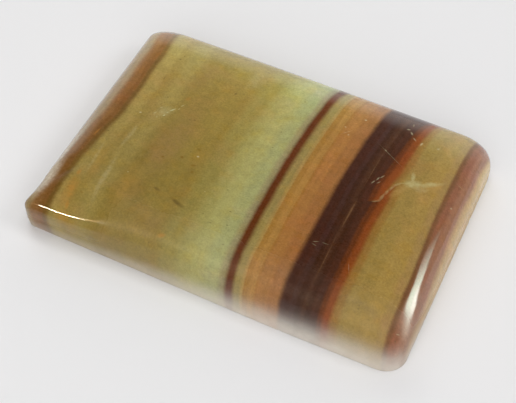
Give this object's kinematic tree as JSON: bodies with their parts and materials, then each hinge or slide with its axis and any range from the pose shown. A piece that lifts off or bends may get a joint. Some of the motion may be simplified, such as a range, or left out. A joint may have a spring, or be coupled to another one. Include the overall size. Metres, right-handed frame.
{
  "type": "jasper cabochon",
  "caption": "Rectangular banded jasper cabochon with a flat back and a low domed, polished top, for setting in a bezel or tray.",
  "frame": {"origin": "middle of the flat back, which is the bottom centre of the bounding box", "axes": "+X along the stone and across its bands, towards the end with the mauve band; +Y along the bands, away from the taller ridged corner's side; +Z out of the polished top"},
  "size_m": [0.033, 0.025, 0.005],
  "materials": {
    "polished_jasper": "polished, opaque, banded across its length in olive, pale green, ochre, dark maroon and mauve, with a ground back"
  },
  "bodies": {
    "root": {"cabochon": "polished_jasper"}
  },
  "joints": []
}
